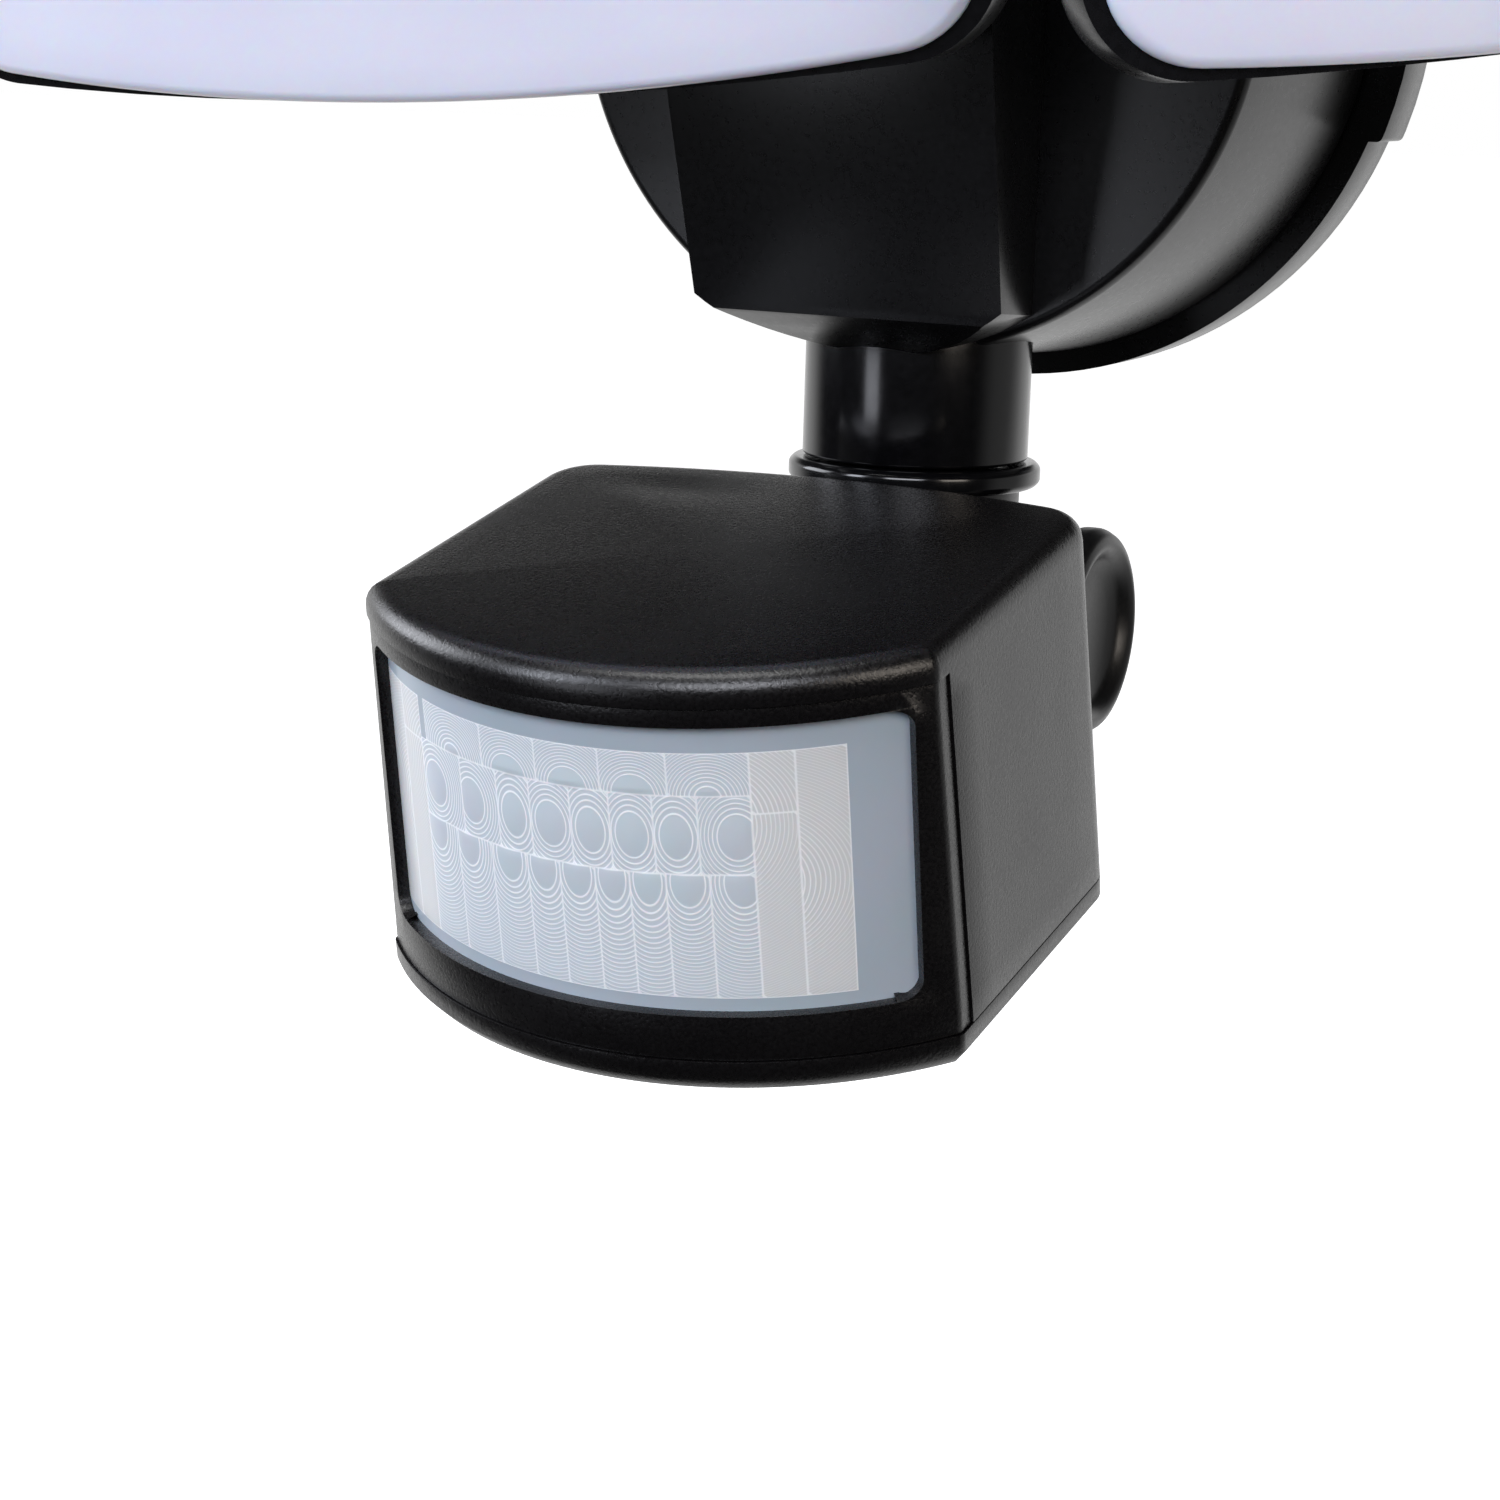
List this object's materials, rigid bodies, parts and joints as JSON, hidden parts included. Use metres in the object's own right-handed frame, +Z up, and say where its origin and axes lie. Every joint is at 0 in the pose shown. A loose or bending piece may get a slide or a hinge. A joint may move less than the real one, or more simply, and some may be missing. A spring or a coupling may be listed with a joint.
{
  "type": "twin head security floodlight",
  "caption": "Wall-mounted floodlight with two adjustable light heads on jointed arms and a tilting, turning motion sensor head below.",
  "frame": {"origin": "centre of the round wall plate on the wall plane", "axes": "+X right seen from the front, +Y into the wall, +Z up"},
  "size_m": [0.2969, 0.1612, 0.2545],
  "materials": {
    "black_satin_plastic": "smooth satin moulded black",
    "black_textured_abs": "fine spark-eroded texture, black",
    "black_knuckle_plastic": "smooth moulded black",
    "dial_plastic": "moulded dark grey",
    "rubber": "soft black",
    "steel": "zinc plated",
    "lens_plastic": "milky translucent sheet with fine grooves",
    "green_board": "solder mask",
    "board_parts": "wound and canned parts",
    "white_plastic": "moulded white",
    "photocell": "clear coated cell",
    "black_enamel": "satin black enamel",
    "led_board": "white solder mask on aluminium",
    "led": "phosphor under clear resin",
    "diffuser": "smooth opal acrylic"
  },
  "bodies": {
    "base": {"wall_plate": "black_satin_plastic", "wall_gasket": "rubber", "cable_grommet": "rubber", "terminal_block": "white_plastic", "driver_board": "green_board", "driver_parts": "board_parts", "canopy_drum": "black_satin_plastic", "side_screws": "steel", "central_block": "black_satin_plastic", "block_screws": "steel", "neck_tube": "black_satin_plastic", "neck_clip": "steel"},
    "sensor_arm": {"swivel_collar": "black_satin_plastic", "elbow": "black_knuckle_plastic", "snap_ring": "steel"},
    "sensor_head": {"head_bracket": "black_knuckle_plastic", "bracket_screws": "steel", "tilt_bolt": "steel", "tilt_nut": "steel", "sensor_shell": "black_textured_abs", "sensor_bezel": "black_textured_abs", "sensor_lens": "lens_plastic", "sensor_base": "black_textured_abs", "sensor_board": "green_board", "pir_can": "steel", "photocell": "photocell", "base_screws": "steel"},
    "clamp_knob": {"tilt_knob": "black_knuckle_plastic"},
    "time_dial": {"dial_time": "dial_plastic"},
    "light_dial": {"dial_light": "dial_plastic"},
    "range_dial": {"dial_range": "dial_plastic"},
    "left_shoulder": {"left_swivel": "black_knuckle_plastic", "left_shoulder_bolt": "steel"},
    "left_link": {"left_arm": "black_knuckle_plastic"},
    "left_head": {"left_wrist_bolt": "steel", "left_bracket": "black_knuckle_plastic", "left_housing": "black_enamel", "left_housing_screws": "steel", "left_led_board": "led_board", "left_leds": "led", "left_diffuser": "diffuser"},
    "right_shoulder": {"right_swivel": "black_knuckle_plastic", "right_shoulder_bolt": "steel"},
    "right_link": {"right_arm": "black_knuckle_plastic"},
    "right_head": {"right_wrist_bolt": "steel", "right_bracket": "black_knuckle_plastic", "right_housing": "black_enamel", "right_housing_screws": "steel", "right_led_board": "led_board", "right_leds": "led", "right_diffuser": "diffuser"}
  },
  "joints": [
    {"name": "left_tilt", "type": "hinge", "parent": "base", "child": "left_shoulder", "pos_m": [-0.0543, -0.0613, 0.059], "axis": [1, 0, 0], "range_deg": [-45, 4]},
    {"name": "left_swing", "type": "hinge", "parent": "left_shoulder", "child": "left_link", "pos_m": [-0.0543, -0.0613, 0.059], "axis": [0, -0.3371, 0.9415], "range_deg": [-70, 2]},
    {"name": "left_turn", "type": "hinge", "parent": "left_link", "child": "left_head", "pos_m": [-0.04773, -0.09864, 0.04563], "axis": [0, -0.3371, 0.9415], "range_deg": [-45, 3]},
    {"name": "right_tilt", "type": "hinge", "parent": "base", "child": "right_shoulder", "pos_m": [0.0543, -0.0613, 0.059], "axis": [1, 0, 0], "range_deg": [-45, 30]},
    {"name": "right_swing", "type": "hinge", "parent": "right_shoulder", "child": "right_link", "pos_m": [0.0543, -0.0613, 0.059], "axis": [0, -0.294, 0.9558], "range_deg": [-10, 12]},
    {"name": "right_turn", "type": "hinge", "parent": "right_link", "child": "right_head", "pos_m": [0.09384, -0.06824, 0.05687], "axis": [0, -0.294, 0.9558], "range_deg": [-10, 35]},
    {"name": "sensor_pan", "type": "hinge", "parent": "base", "child": "sensor_arm", "pos_m": [0, -0.0478, -0.0716], "axis": [0, 0, 1], "range_deg": [-80, 80]},
    {"name": "sensor_tilt", "type": "hinge", "parent": "sensor_arm", "child": "sensor_head", "pos_m": [0, -0.052, -0.0925], "axis": [1, 0, 0], "range_deg": [-11.7, 35]},
    {"name": "knob_turn", "type": "hinge", "parent": "sensor_head", "child": "clamp_knob", "pos_m": [0.028, -0.052, -0.0925], "axis": [1, 0, 0], "range_deg": [-90, 270]},
    {"name": "time_dial_turn", "type": "hinge", "parent": "sensor_head", "child": "time_dial", "pos_m": [-0.018, -0.09902, -0.13175], "axis": [0, -0.2028, 0.9792], "range_deg": [-135, 135]},
    {"name": "light_dial_turn", "type": "hinge", "parent": "sensor_head", "child": "light_dial", "pos_m": [0, -0.09902, -0.13175], "axis": [0, -0.2028, 0.9792], "range_deg": [-135, 135]},
    {"name": "range_dial_turn", "type": "hinge", "parent": "sensor_head", "child": "range_dial", "pos_m": [0.018, -0.09902, -0.13175], "axis": [0, -0.2028, 0.9792], "range_deg": [-135, 135]}
  ]
}
